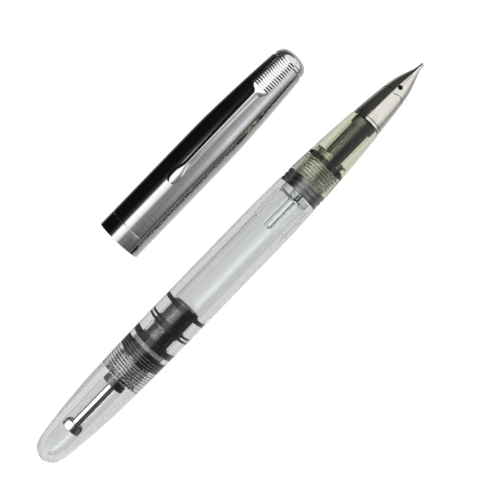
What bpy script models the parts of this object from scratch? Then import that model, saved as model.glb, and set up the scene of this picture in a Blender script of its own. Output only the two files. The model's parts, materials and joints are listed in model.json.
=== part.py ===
"""Clear plunger-filling fountain pen lying on a table, with its steel slip cap parked beside it.

The pen lies along X with its nib at +X. Places along the pen are stations: millimetres from the tail end.
Places along the cap are millimetres from its mouth. Radii are in millimetres and are true radii, to the flats
of the faceted solids. Everything is written to Blender in metres.
"""
import math

import bmesh
import bpy
from mathutils import Vector

MM = 0.001

# Driving sizes, in millimetres
PEN_LENGTH = 128.4
BARREL_R = 5.80
CAP_R = 5.68
CAP_LENGTH = 59.6
CAP_MOUTH_STATION = 49.1
AXIS_SPACING = 22.5
CHAMBER_R = 3.90
SIDE_FACETS = 24
ROD_FACETS = 12
RUNNING_GAP = 0.05
SEAT_GAP = 0.10
THREAD_PITCH = 1.1

# Stations of the joints between the pen's main pieces
TAIL_SEAM = 26.6
SPIGOT_END = 32.3
COLLAR_END = 35.7
CHAMBER_START = 36.95
BARREL_SHOULDER = 85.8
NECK_END = 89.3
GRIP_START = 89.4
CONNECTOR_START = 84.0
SOCKET_FLOOR = 91.5
CONNECTOR_THREAD_END = 94.6
GRIP_SEAL_END = 96.0
CONNECTOR_END = 97.4
GRIP_END = 108.7
NIB_REAR = 109.0
NIB_FRONT = 127.6

# Plunger
BUTTON_REAR = 9.9
BUTTON_FRONT = 12.0
BUTTON_R = 2.35
ROD_R = 1.05
ROD_FLANGE_START = 25.0
ROD_FLANGE_END = 25.5
ROD_FLANGE_R = 1.75
ROD_END = 46.0
GUIDE_REAR = 24.0
GUIDE_FLANGE = 38.8
GUIDE_FRONT_WALL = 40.1
GUIDE_END = 41.1
GUIDE_BORE_R = 1.90
GUIDE_R = 2.80
SLEEVE_R = 2.90
PISTON_REAR = 41.4
PISTON_FRONT = 49.3
PISTON_R = 3.40
SEAL_SEAT_R = 2.85
SEAL_R = 3.86
REAR_SEAL_START = 42.1
REAR_SEAL_END = 44.0
FRONT_SEAL_START = 47.6
FRONT_SEAL_END = 48.95
SPRING_TURNS = 10
SPRING_R = 1.48
SPRING_WIRE_R = 0.13

# Nib
NIB_WALL = 0.28
FEED_GAP = 0.20
NIB_HOLE_STATION = 119.9
NIB_HOLE_R = 0.55
NIB_SLIT = 0.12
WRAP_FULL = math.radians(178.0)
WRAP_OPEN = math.radians(84.0)
WRAP_FULL_STATION = 112.5
WRAP_OPEN_STATION = 120.5

# Cap, in millimetres from its mouth
CAP_WALL = 0.20
ENGRAVED_LINE = 4.0
SHELL_END = 56.5
CLIP_RING_START = 56.6
CLIP_RING_END = 57.3
CLIP_PIVOT = 57.0
CLIP_PIVOT_HEIGHT = 4.75
CLIP_TIP = 17.9
CLIP_ROOT = 58.6
CLIP_ROLL = math.radians(-2.5)


def material(name, colour, roughness, metallic=0.0, transmission=0.0):
    made = bpy.data.materials.new(name)
    made.use_nodes = True
    shader = made.node_tree.nodes["Principled BSDF"]
    shader.inputs["Base Color"].default_value = (*colour, 1.0)
    shader.inputs["Roughness"].default_value = roughness
    shader.inputs["Metallic"].default_value = metallic
    shader.inputs["Transmission Weight"].default_value = transmission
    return made


def axis_empty(name, location, parent=None):
    """An empty that pieces hang from; location is in millimetres in the parent's frame."""
    empty = bpy.data.objects.new(name, None)
    empty.location = Vector(location) * MM
    empty.parent = parent
    bpy.context.scene.collection.objects.link(empty)
    return empty


def new_piece(name, bm, parent, finish):
    """Turns a bmesh in millimetres into a named object hanging from parent."""
    bmesh.ops.recalc_face_normals(bm, faces=bm.faces)
    bmesh.ops.scale(bm, vec=(MM, MM, MM), verts=bm.verts)
    mesh = bpy.data.meshes.new(name)
    bm.to_mesh(mesh)
    bm.free()
    mesh.materials.append(finish)
    mesh.shade_smooth()
    mesh.set_sharp_from_angle(angle=math.radians(30))
    piece = bpy.data.objects.new(name, mesh)
    piece.parent = parent
    bpy.context.scene.collection.objects.link(piece)
    return piece


def ring_points(place, radius, facets):
    """The corners of one turned ring whose flats lie at the given radius, with a flat at the bottom."""
    corner_r = radius / math.cos(math.pi / facets)
    angles = [2 * math.pi * (step + 0.5) / facets for step in range(facets)]
    return [(place, corner_r * math.sin(angle), corner_r * math.cos(angle)) for angle in angles]


def bridge(bm, first, second):
    """Faces between two rings, either of which may be a single vertex on the axis."""
    count = max(len(first), len(second))
    for step in range(count):
        after = (step + 1) % count
        corners = [first[step % len(first)], first[after % len(first)]]
        corners += [second[after % len(second)], second[step % len(second)]]
        bm.faces.new(list(dict.fromkeys(corners)))


def turned(name, outline, parent, finish, facets=SIDE_FACETS):
    """A turned piece. The outline is (place, radius) points round its half section: a closed loop for a ring,
    or a line from one point on the axis to another for a solid end."""
    bm = bmesh.new()
    rings = []
    for place, radius in outline:
        corners = ring_points(place, radius, facets) if radius else [(place, 0.0, 0.0)]
        rings.append([bm.verts.new(corner) for corner in corners])
    for first, second in zip(rings, rings[1:]):
        bridge(bm, first, second)
    if outline[0][1] and outline[-1][1]:
        bridge(bm, rings[-1], rings[0])
    return new_piece(name, bm, parent, finish)


def thread(start, end, crest, root, pitch=THREAD_PITCH):
    """Outline points of a thread cut between two stations, as plain V-shaped ridges."""
    turns = max(1, round((end - start) / pitch))
    step = (end - start) / turns
    points = [(start, root)]
    for turn in range(turns):
        points += [(start + step * (turn + 0.5), crest), (start + step * (turn + 1), root)]
    return points


def lofted(name, sections, parent, finish):
    """A closed piece through sections that all have the same number of points."""
    bm = bmesh.new()
    loops = [[bm.verts.new(point) for point in section] for section in sections]
    for first, second in zip(loops, loops[1:]):
        bridge(bm, first, second)
    bm.faces.new(loops[0])
    bm.faces.new(loops[-1])
    return new_piece(name, bm, parent, finish)


def cutter(name, bm, parent):
    """A hidden helper that a Boolean subtracts."""
    piece = new_piece(name, bm, parent, bpy.data.materials["steel"])
    piece.hide_render = True
    piece.display_type = "WIRE"
    return piece


def subtract(piece, tool):
    cut = piece.modifiers.new(tool.name, "BOOLEAN")
    cut.operation = "DIFFERENCE"
    cut.solver = "EXACT"
    cut.object = tool


def along(points, place):
    """Straight-line value at a place, from (place, value) points in rising order."""
    for (place_a, value_a), (place_b, value_b) in zip(points, points[1:]):
        if place <= place_b:
            share = (place - place_a) / (place_b - place_a)
            return value_a + (value_b - value_a) * max(0.0, share)
    return points[-1][1]


def blind_cap(pen, clear):
    dome = [(0, 0), (0.3, 1.3), (1.5, 2.9), (3.3, 3.64), (5.2, 3.97), (9, 4.46)]
    dome += [(13, 4.86), (18.3, 5.27), (22, 5.43), (TAIL_SEAM, 5.53)]
    spigot = [(TAIL_SEAM, 4.2)] + thread(TAIL_SEAM + 0.2, SPIGOT_END - 0.3, 4.4, 4.2)
    spigot += [(SPIGOT_END, 4.1)]
    bore = [(SPIGOT_END, 3.1), (8, 2.65), (5.3, 2.45), (3.6, 2.05), (2.4, 1.3), (1.9, 0)]
    turned("blind_cap", dome + spigot + bore, pen, clear)


def barrel(pen, clear):
    side = [(TAIL_SEAM + SEAT_GAP, 5.53), (35, 5.75), (43, BARREL_R), (75, BARREL_R), (82, 5.69)]
    side += [(BARREL_SHOULDER, 5.57)]
    neck = [(BARREL_SHOULDER, 4.75), (NECK_END, 4.75)]
    bore = [(NECK_END, CHAMBER_R), (CHAMBER_START, CHAMBER_R), (CHAMBER_START, 4.5)]
    bore += [(TAIL_SEAM + SEAT_GAP, 4.5)]
    turned("barrel", side + neck + bore, pen, clear)


def clutch_ring(pen, steel):
    start, end = BARREL_SHOULDER + RUNNING_GAP, GRIP_START - RUNNING_GAP
    outline = [(start, 5.42)]
    for groove in (86.9, 88.2):
        outline += [(groove, 5.42), (groove + 0.15, 5.30), (groove + 0.45, 5.30), (groove + 0.6, 5.42)]
    outline += [(end, 5.40), (end, 4.8), (start, 4.8)]
    turned("clutch_ring", outline, pen, steel)


def connector(pen, clear):
    outline = [(CONNECTOR_START, 3.55), (84.3, 3.8), (NECK_END + SEAT_GAP, 3.8)]
    outline += thread(NECK_END + SEAT_GAP, CONNECTOR_THREAD_END, 4.36, 4.16)
    outline += [(CONNECTOR_THREAD_END, 3.6), (GRIP_SEAL_END, 3.6), (GRIP_SEAL_END, 4.3)]
    outline += [(CONNECTOR_END, 4.3), (CONNECTOR_END, 2.45), (SOCKET_FLOOR, 2.45), (SOCKET_FLOOR, 0.95)]
    outline += [(CONNECTOR_START, 0.95)]
    turned("connector", outline, pen, clear)


def grip(pen, tinted, rubber):
    side = [(GRIP_START, 5.42), (92, 5.31), (96, 5.06), (100.7, 4.76), (104.4, 4.46)]
    side += [(108.2, 4.14), (GRIP_END, 3.95)]
    bore = [(GRIP_END, 3.0), (CONNECTOR_END + SEAT_GAP, 3.0), (CONNECTOR_END + SEAT_GAP, 4.46)]
    bore += [(GRIP_START, 4.46)]
    turned("grip_shell", side + bore, pen, tinted)
    start, end = CONNECTOR_THREAD_END + RUNNING_GAP, GRIP_SEAL_END - RUNNING_GAP
    seal = [(start, 3.66), (start, 4.1), (start + 0.35, 4.38), (end - 0.35, 4.38), (end, 4.1), (end, 3.66)]
    turned("grip_seal_ring", seal, pen, rubber)


def collector(pen, dark):
    """The finned ink buffer: a tail in the connector, fins inside the grip and a plug inside the nib."""
    tail, fins, first_fin, last_fin = SOCKET_FLOOR + 0.2, 12, 98.0, 106.6
    outline = [(tail, 1.1), (tail, 2.35), (CONNECTOR_END + SEAT_GAP, 2.35)]
    pitch = (last_fin - first_fin) / fins
    for fin in range(fins):
        start = first_fin + fin * pitch
        outline += [(start, 1.75), (start, 2.3), (start + pitch / 2, 2.3), (start + pitch / 2, 1.75)]
    plug = NIB_REAR + SEAT_GAP
    outline += [(106.8, 1.75), (106.8, 2.85), (108.6, 2.85), (108.6, 2.5), (plug, 2.5), (plug, 3.45)]
    outline += [(113.0, 3.05), (113.0, 1.1)]
    turned("collector", outline, pen, dark, ROD_FACETS)


def nib_radius(station):
    """Outer radius of the conical nib: full towards the rear, then drawn in to a slender point."""
    outline = [(109, 3.95), (110, 3.87), (112, 3.68), (114, 3.48), (116, 3.27), (118, 3.03), (119.5, 2.77)]
    outline += [(121.3, 2.40), (123.2, 1.78), (125, 1.10), (126.2, 0.66), (NIB_FRONT, 0.44)]
    return along(outline, station)


def feed(pen, dark):
    """The ink channel: a tail in the collector's bore and a tapered nose under the nib."""
    stations = (113.2, 115, 117, 119, 121, 123)
    nose = [(station, nib_radius(station) - NIB_WALL - FEED_GAP) for station in stations]
    outline = [(99.5, 0), (99.5, 1.0), (113.2, 1.0)] + nose + [(124.3, 0.75), (124.9, 0)]
    turned("feed", outline, pen, dark, ROD_FACETS)


def nib(pen, steel):
    """A sheet rolled into a cone, open along the bottom and opening wide in front of the collector, with a
    breather hole and a slit between the two tines."""
    stations = [NIB_REAR, 110, 112, 114, 116, 118, 119.5, 121.3, 123.2, 125, 126.2, NIB_FRONT]
    steps = 24
    sections = []
    for station in stations:
        opened = (station - WRAP_FULL_STATION) / (WRAP_OPEN_STATION - WRAP_FULL_STATION)
        opened = min(1.0, max(0.0, opened))
        wrap = WRAP_FULL + (WRAP_OPEN - WRAP_FULL) * opened * opened * (3 - 2 * opened)
        angles = [wrap * (2 * step / steps - 1) for step in range(steps + 1)]
        outer = nib_radius(station)
        rim = [(station, outer * math.sin(angle), outer * math.cos(angle)) for angle in angles]
        inner = outer - NIB_WALL
        rim += [(station, inner * math.sin(angle), inner * math.cos(angle)) for angle in reversed(angles)]
        sections.append(rim)
    piece = lofted("nib", sections, pen, steel)

    hole = bmesh.new()
    rings = []
    for height in (0.8, 4.0):
        angles = [2 * math.pi * step / ROD_FACETS for step in range(ROD_FACETS)]
        corners = [(NIB_HOLE_STATION + NIB_HOLE_R * math.cos(angle), NIB_HOLE_R * math.sin(angle), height)
                   for angle in angles]
        rings.append([hole.verts.new(corner) for corner in corners])
    bridge(hole, rings[0], rings[1])
    hole.faces.new(rings[0])
    hole.faces.new(rings[1])
    subtract(piece, cutter("nib_hole_cutter", hole, pen))

    slit = bmesh.new()
    bmesh.ops.create_cube(slit, size=1.0)
    slit_end = NIB_FRONT + 0.5
    bmesh.ops.scale(slit, vec=(slit_end - NIB_HOLE_STATION, NIB_SLIT, 5.0), verts=slit.verts)
    bmesh.ops.translate(slit, vec=((slit_end + NIB_HOLE_STATION) / 2, 0, 2.5), verts=slit.verts)
    subtract(piece, cutter("nib_slit_cutter", slit, pen))


def nib_tipping(pen, steel):
    start = NIB_FRONT + RUNNING_GAP
    outline = [(start, 0), (start, 0.34), (start + 0.2, 0.42), (start + 0.45, 0.38), (start + 0.67, 0.2)]
    outline += [(PEN_LENGTH, 0)]
    turned("nib_tipping", outline, pen, steel, ROD_FACETS)


def filler_housing(pen, dark, clear, rubber):
    """The pump's fixed parts, screwed into the barrel from the tail."""
    start = SPIGOT_END + 0.15
    collar = [(start, SLEEVE_R)] + thread(start, COLLAR_END, 4.4, 4.2) + [(COLLAR_END, SLEEVE_R)]
    turned("pump_collar", collar, pen, dark)
    start, end = COLLAR_END + SEAT_GAP, CHAMBER_START - SEAT_GAP
    turned("collar_washer", [(start, SLEEVE_R), (start, 4.35), (end, 4.35), (end, SLEEVE_R)], pen, clear)
    start, end = CHAMBER_START + RUNNING_GAP, GUIDE_FLANGE - SEAT_GAP
    seal = [(start, SLEEVE_R), (start, SEAL_R), (end - 0.35, SEAL_R), (end, 3.6), (end, SLEEVE_R)]
    turned("pump_seal", seal, pen, rubber)
    tube = [(GUIDE_REAR, GUIDE_BORE_R), (GUIDE_REAR, 2.4), (GUIDE_REAR + 0.4, GUIDE_R)]
    tube += [(GUIDE_FLANGE, GUIDE_R), (GUIDE_FLANGE, 3.2), (GUIDE_END, 3.2), (GUIDE_END, 1.2)]
    tube += [(GUIDE_FRONT_WALL, 1.2), (GUIDE_FRONT_WALL, GUIDE_BORE_R)]
    turned("guide_tube", tube, pen, dark)
    start, end = GUIDE_REAR + 0.15, ROD_FLANGE_START - SEAT_GAP
    turned("guide_bush", [(start, 1.2), (start, 1.8), (end, 1.8), (end, 1.2)], pen, dark, ROD_FACETS)


def plunger(slide, steel, dark, rubber):
    """The sprung plunger that works the piston, from the button to the piston's seals."""
    bevel = 0.3
    button = [(BUTTON_REAR, 0), (BUTTON_REAR, BUTTON_R - bevel), (BUTTON_REAR + bevel, BUTTON_R)]
    button += [(BUTTON_FRONT - 1.1, BUTTON_R), (BUTTON_FRONT - 0.5, 2.2)]
    button += [(BUTTON_FRONT, 1.6), (BUTTON_FRONT, 0)]
    turned("plunger_button", button, slide, steel)
    start = BUTTON_FRONT + RUNNING_GAP
    rod = [(start, 0), (start, ROD_R), (ROD_FLANGE_START, ROD_R), (ROD_FLANGE_START, ROD_FLANGE_R)]
    rod += [(ROD_FLANGE_END, ROD_FLANGE_R), (ROD_FLANGE_END, ROD_R), (ROD_END, ROD_R), (ROD_END, 0)]
    turned("plunger_rod", rod, slide, steel, ROD_FACETS)

    seals = ((FRONT_SEAL_START, FRONT_SEAL_END), (REAR_SEAL_START, REAR_SEAL_END))
    body = [(PISTON_FRONT, 0), (PISTON_FRONT, PISTON_R)]
    for start, end in seals:
        seat_start, seat_end = start - RUNNING_GAP, end + RUNNING_GAP
        body += [(seat_end, PISTON_R), (seat_end, SEAL_SEAT_R)]
        body += [(seat_start, SEAL_SEAT_R), (seat_start, PISTON_R)]
    body += [(PISTON_REAR, PISTON_R), (PISTON_REAR, ROD_R + SEAT_GAP), (ROD_END + SEAT_GAP, ROD_R + SEAT_GAP)]
    body += [(ROD_END + SEAT_GAP, 0)]
    turned("piston_body", body, slide, dark)
    start, end = REAR_SEAL_START, REAR_SEAL_END
    middle = (start + end) / 2
    rear = [(start, SLEEVE_R), (start, 3.6), (start + 0.2, SEAL_R), (middle - 0.25, SEAL_R), (middle, 3.6)]
    rear += [(middle + 0.25, SEAL_R), (end - 0.2, SEAL_R), (end, 3.6), (end, SLEEVE_R)]
    turned("piston_seal_rear", rear, slide, rubber)
    start, end = FRONT_SEAL_START, FRONT_SEAL_END
    front = [(start, SLEEVE_R), (start, 3.65), (start + 0.2, SEAL_R), (end - 0.2, SEAL_R), (end, 3.65)]
    front += [(end, SLEEVE_R)]
    turned("piston_seal_front", front, slide, rubber)


def return_spring(pen, steel):
    """A coil round the plunger rod, from the rod's flange to the guide tube's front wall."""
    start = ROD_FLANGE_END + SEAT_GAP + SPRING_WIRE_R
    end = GUIDE_FRONT_WALL - SEAT_GAP - SPRING_WIRE_R
    steps_per_turn, sides = 10, 5
    steps = SPRING_TURNS * steps_per_turn
    slope = (end - start) / (2 * math.pi * SPRING_TURNS * SPRING_R)
    sections = []
    for step in range(steps + 1):
        angle = 2 * math.pi * step / steps_per_turn
        outward = Vector((0, math.cos(angle), math.sin(angle)))
        forward = Vector((slope, -math.sin(angle), math.cos(angle))).normalized()
        across = outward.cross(forward)
        centre = Vector((start + (end - start) * step / steps, 0, 0)) + outward * SPRING_R
        turns = [2 * math.pi * side / sides for side in range(sides)]
        around = [outward * math.cos(turn) + across * math.sin(turn) for turn in turns]
        sections.append([centre + direction * SPRING_WIRE_R for direction in around])
    lofted("return_spring", sections, pen, steel)


def breather_tube(pen, clear):
    start, end = 75.5, SOCKET_FLOOR - 0.2
    turned("breather_tube", [(start, 0.45), (start, 0.8), (end, 0.8), (end, 0.45)], pen, clear, ROD_FACETS)


def cap_radius(place):
    """Outer radius of the steel cap, straight from the mouth and then drawn in towards the top."""
    outline = [(0, CAP_R), (33, CAP_R), (38, 5.50), (42.2, 5.30)]
    outline += [(47.9, 4.98), (53.5, 4.62), (SHELL_END, 4.36)]
    return along(outline, place)


def cap_shell(cap, steel):
    places = (33, 38, 42.2, 47.9, 53.5)
    line = ENGRAVED_LINE
    side = [(0, CAP_R - 0.06), (0.12, CAP_R), (line, CAP_R), (line + 0.1, CAP_R - 0.06)]
    side += [(line + 0.25, CAP_R - 0.06), (line + 0.35, CAP_R)]
    side += [(place, cap_radius(place)) for place in places] + [(SHELL_END, cap_radius(SHELL_END))]
    end_wall = [(SHELL_END, 2.05), (56.0, 2.05), (56.0, 4.1)]
    bore = [(place, cap_radius(place) - CAP_WALL) for place in reversed(places)]
    bore += [(0, CAP_R - CAP_WALL)]
    turned("cap_shell", side + end_wall + bore, cap, steel)


def cap_inner_liner(cap, clear):
    """The plastic inner cap: its mouth holds the grip and its bore keeps the nib from drying."""
    places = (33, 38, 42.2, 47.9, 53.5)
    clearance = CAP_WALL + 0.12
    outline = [(8.6, CAP_R - clearance)] + [(place, cap_radius(place) - clearance) for place in places]
    outline += [(55.8, 3.9), (55.8, 2.05), (54.8, 2.05), (54.8, 3.4), (53.5, 3.7), (42.2, 4.35), (22, 4.5)]
    outline += [(8.6, 5.25)]
    turned("cap_inner_liner", outline, cap, clear)


def cap_top(cap, steel):
    """The clip's fixing ring, the finial that traps it, and the bush that draws the cap's top together."""
    ring = [(CLIP_RING_START, 2.05), (CLIP_RING_START, 4.32), (CLIP_RING_END, 4.24), (CLIP_RING_END, 2.05)]
    turned("clip_ring", ring, cap, steel)
    finial = [(CAP_LENGTH, 0), (CAP_LENGTH, 1.9), (59.35, 2.8), (58.9, 3.45), (58.3, 3.88), (57.4, 4.15)]
    finial += [(57.4, 2.05), (58.9, 2.05), (58.9, 0)]
    turned("cap_finial", finial, cap, steel)
    bush = [(53.8, 0), (53.8, 3.0), (54.7, 3.0), (54.7, 1.9), (58.8, 1.9), (58.8, 0)]
    turned("cap_bush", bush, cap, steel)


def cap_clip(pivot, steel):
    """The spring clip: a wide panel at the root, a slender bar and a rounded end that rests on the cap.
    Each section is (place, half width, underside height, top height), heights from the cap's axis."""
    rest = CAP_R + 0.08
    sections = [(CLIP_TIP, 0.5, rest + 0.15, 6.35), (18.5, 1.15, rest, 6.7), (20, 1.42, rest, 6.95)]
    sections += [(22, 1.3, rest, 7.0), (23.4, 0.8, 5.95, 6.95), (26, 0.78, 6.15, 6.95), (36, 0.95, 6.2, 7.0)]
    sections += [(46, 1.12, 6.0, 6.85), (46.7, 1.6, 5.95, 6.8), (47.6, 2.35, 5.9, 6.75), (54, 2.35, 5.3, 6.2)]
    sections += [(56.5, 2.2, 4.75, 5.8), (58, 1.7, 4.6, 5.3), (CLIP_ROOT, 1.0, 4.6, 4.95)]
    loops = []
    for place, half, low, high in sections:
        bevel = min(0.35, half / 3)
        shoulder = low + (high - low) * 0.45
        corners = [(-half, low), (half, low), (half, shoulder), (half - bevel, high), (-half + bevel, high)]
        corners += [(-half, shoulder)]
        loops.append([(place - CLIP_PIVOT, y, z - CLIP_PIVOT_HEIGHT) for y, z in corners])
    lofted("cap_clip", loops, pivot, steel)


def main():
    for old in list(bpy.data.objects):
        bpy.data.objects.remove(old, do_unlink=True)
    clear = material("clear_plastic", (0.86, 0.88, 0.88), 0.05, transmission=0.9)
    tinted = material("yellow_green_plastic", (0.72, 0.76, 0.42), 0.1, transmission=0.8)
    dark = material("black_plastic", (0.02, 0.02, 0.025), 0.25)
    rubber = material("black_rubber", (0.015, 0.015, 0.015), 0.6)
    steel = material("steel", (0.62, 0.61, 0.60), 0.2, metallic=1.0)
    brushed = material("brushed_steel", (0.55, 0.56, 0.57), 0.35, metallic=1.0)

    half_spread = (AXIS_SPACING + BARREL_R + CAP_R) / 2
    pen = axis_empty("pen_axis", (-PEN_LENGTH / 2, BARREL_R - half_spread, BARREL_R))
    slide = axis_empty("plunger_axis", (0, 0, 0), pen)
    cap_start = CAP_MOUTH_STATION - PEN_LENGTH / 2
    cap = axis_empty("cap_axis", (cap_start, half_spread - CAP_R, CAP_R))
    roll = axis_empty("clip_roll", (CLIP_PIVOT, 0, 0), cap)
    roll.rotation_euler.x = CLIP_ROLL
    pivot = axis_empty("clip_pivot", (0, 0, CLIP_PIVOT_HEIGHT), roll)

    blind_cap(pen, clear)
    barrel(pen, clear)
    clutch_ring(pen, brushed)
    connector(pen, clear)
    grip(pen, tinted, rubber)
    collector(pen, dark)
    feed(pen, dark)
    nib(pen, steel)
    nib_tipping(pen, steel)
    breather_tube(pen, clear)
    filler_housing(pen, dark, clear, rubber)
    plunger(slide, steel, dark, rubber)
    return_spring(pen, steel)
    cap_shell(cap, brushed)
    cap_inner_liner(cap, clear)
    cap_top(cap, steel)
    cap_clip(pivot, steel)


main()
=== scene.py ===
"""Looks for the clear plunger-filling fountain pen and its steel cap.

Places along the pen are stations: millimetres from the tail end. Places along the cap are millimetres
from its mouth. Radii and heights are millimetres from the pen's or the cap's own axis. The two axes
come from the frame.
"""
import json
import math

import bmesh
import bpy
from mathutils import Matrix, Vector

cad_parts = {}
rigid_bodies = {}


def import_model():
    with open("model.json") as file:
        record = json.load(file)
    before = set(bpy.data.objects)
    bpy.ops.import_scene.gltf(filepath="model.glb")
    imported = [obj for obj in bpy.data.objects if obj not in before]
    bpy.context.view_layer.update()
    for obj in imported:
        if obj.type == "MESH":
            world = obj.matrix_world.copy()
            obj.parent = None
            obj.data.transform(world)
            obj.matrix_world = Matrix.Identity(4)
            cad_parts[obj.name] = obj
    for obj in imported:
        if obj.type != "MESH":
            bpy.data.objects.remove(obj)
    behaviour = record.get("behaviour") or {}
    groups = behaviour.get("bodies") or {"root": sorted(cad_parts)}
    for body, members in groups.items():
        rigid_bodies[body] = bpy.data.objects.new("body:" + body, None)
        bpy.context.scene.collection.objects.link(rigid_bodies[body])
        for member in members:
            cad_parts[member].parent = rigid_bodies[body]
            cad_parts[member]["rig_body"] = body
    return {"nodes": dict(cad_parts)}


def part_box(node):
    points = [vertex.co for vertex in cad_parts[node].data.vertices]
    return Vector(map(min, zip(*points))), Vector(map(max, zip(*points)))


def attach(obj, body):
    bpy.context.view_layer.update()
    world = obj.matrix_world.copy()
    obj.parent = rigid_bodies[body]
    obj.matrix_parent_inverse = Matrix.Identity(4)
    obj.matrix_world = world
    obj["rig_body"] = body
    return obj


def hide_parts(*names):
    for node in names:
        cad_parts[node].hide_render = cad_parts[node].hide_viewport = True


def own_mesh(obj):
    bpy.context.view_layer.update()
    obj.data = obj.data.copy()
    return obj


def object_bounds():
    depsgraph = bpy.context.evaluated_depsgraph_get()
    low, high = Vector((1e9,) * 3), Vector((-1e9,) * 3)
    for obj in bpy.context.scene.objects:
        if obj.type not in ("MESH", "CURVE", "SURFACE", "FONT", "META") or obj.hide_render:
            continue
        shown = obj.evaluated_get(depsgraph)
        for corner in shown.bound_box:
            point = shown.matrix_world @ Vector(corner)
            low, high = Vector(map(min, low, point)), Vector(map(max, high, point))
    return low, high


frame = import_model()
cad_low, cad_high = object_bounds()

MM = 0.001
FULL_TURN = 2 * math.pi
SEGMENTS = 96
SAME_RADIUS = 0.02

barrel_low, barrel_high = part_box("barrel")
shell_low, shell_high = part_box("cap_shell")
tail_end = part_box("blind_cap")[0].x
PEN_AXIS = Vector((tail_end, (barrel_low.y + barrel_high.y) / 2, (barrel_low.z + barrel_high.z) / 2))
CAP_AXIS = Vector((shell_low.x, (shell_low.y + shell_high.y) / 2, (shell_low.z + shell_high.z) / 2))
CAP_R = (shell_high.z - shell_low.z) / 2 / MM
CHAMBER_R = 3.90
BORE_THREAD_R = 4.50
GRIP_THREAD_R = 4.46
SLEEVE_R = 2.90
GUIDE_R = 2.80
ROD_R = 1.05
PISTON_R = 3.40
CAP_BUSH_R = 2.05
WALL_BITE = 0.02
FINE_PITCH = 0.72
OUTER_THREAD_DEPTH = 0.26
INNER_THREAD_DEPTH = 0.16


def stations(node):
    """Where a node of the pen starts and ends."""
    low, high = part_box(node)
    return (low.x - PEN_AXIS.x) / MM, (high.x - PEN_AXIS.x) / MM


TAIL_SEAM = stations("barrel")[0] - 0.1
NECK_END = stations("barrel")[1]
SPIGOT_END = stations("blind_cap")[1]
COLLAR_START, COLLAR_END = stations("pump_collar")
CHAMBER_START = stations("pump_seal")[0] - 0.05
CONNECTOR_START, CONNECTOR_END = stations("connector")
GRIP_START, GRIP_END = stations("grip_shell")
NIB_REAR, NIB_FRONT = stations("nib")


# Outlines and meshes

def smooth(points, steps=6):
    """A smooth curve through (place, radius) points. It meets the axis square on where an end lies on it."""
    def ghost(end, after):
        if end[1] == 0:
            return (after[0], -after[1])
        return (2 * end[0] - after[0], 2 * end[1] - after[1])

    whole = [ghost(points[0], points[1])] + list(points) + [ghost(points[-1], points[-2])]
    made = [points[0]]
    for before, start, end, after in zip(whole, whole[1:], whole[2:], whole[3:]):
        for step in range(1, steps + 1):
            t = step / steps
            place, radius = (
                0.5 * (2 * b + (c - a) * t + (2 * a - 5 * b + 4 * c - d) * t * t
                       + (3 * b - a - 3 * c + d) * t ** 3)
                for a, b, c, d in zip(before, start, end, after))
            made.append((place, radius))
    return made


def eased(corners, closed=True, steps=4):
    """Rounds the corners of an outline. A corner is (place, radius), or (place, radius, rounding)."""
    made = []
    count = len(corners)
    for index, corner in enumerate(corners):
        rounding = corner[2] if len(corner) > 2 else 0
        here = Vector(corner[:2])
        at_end = not closed and index in (0, count - 1)
        if not rounding or at_end:
            made.append(tuple(here))
            continue
        back = Vector(corners[index - 1][:2]) - here
        ahead = Vector(corners[(index + 1) % count][:2]) - here
        reach = min(rounding, back.length * 0.45, ahead.length * 0.45)
        start, end = here + back.normalized() * reach, here + ahead.normalized() * reach
        for step in range(steps + 1):
            t = step / steps
            made.append(tuple(start * (1 - t) ** 2 + here * 2 * t * (1 - t) + end * t * t))
    return made


def faded(place, start, end, length):
    """Rises from 0 to 1 over that length from the start, and falls back over the same length to the end."""
    return min(1.0, max(0.0, (place - start) / length), max(0.0, (end - place) / length))


def helix(pitch, depth, start, end, steepness=0.8):
    """A change of radius that cuts a thread with flat crests and steep flanks. It fades out at both ends."""
    def change(place, angle):
        fade = faded(place, start, end, pitch)
        wave = math.cos(FULL_TURN * (place / pitch - angle / FULL_TURN))
        return depth * fade * min(1.0, max(0.0, 0.5 - steepness * wave))
    return change


def thread(start, end, radius, pitch, per_turn=12):
    """Outline points close enough together to carry a thread."""
    count = round((end - start) / pitch * per_turn)
    return [(start + (end - start) * step / count, radius) for step in range(count + 1)]


def in_root(pitch, share):
    """Whether a place lies in the root of the thread that helix cuts, over that share of the pitch. Faces
    there take the grey material of the painted thread lines: painted shade on clear threads, painted
    highlight on black ones.
    """
    def test(place, angle):
        return math.cos(FULL_TURN * (place / pitch - angle / FULL_TURN)) > math.cos(math.pi * share)
    return test


def new_object(name, bm, node, material, second=None, sharp=40):
    """Turns a bmesh, in world millimetres, into a piece that stands for a CAD node and rides with it."""
    bmesh.ops.recalc_face_normals(bm, faces=bm.faces)
    mesh = bpy.data.meshes.new(name)
    bm.to_mesh(mesh)
    bm.free()
    mesh.transform(Matrix.Scale(MM, 4))
    mesh.materials.append(material)
    if second:
        mesh.materials.append(second)
    mesh.shade_smooth()
    mesh.set_sharp_from_angle(angle=math.radians(sharp))
    piece = bpy.data.objects.new(name, mesh)
    bpy.context.scene.collection.objects.link(piece)
    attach(piece, frame["nodes"][node]["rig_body"])
    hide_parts(node)
    return piece


def join_rings(bm, first, second):
    """Faces between two rings of points. A ring of one point makes a fan of triangles."""
    count = max(len(first), len(second))
    made = []
    for step in range(count):
        after = (step + 1) % count
        corners = [first[step % len(first)], first[after % len(first)]]
        corners += [second[after % len(second)], second[step % len(second)]]
        made.append(bm.faces.new(list(dict.fromkeys(corners))))
    return made


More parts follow.
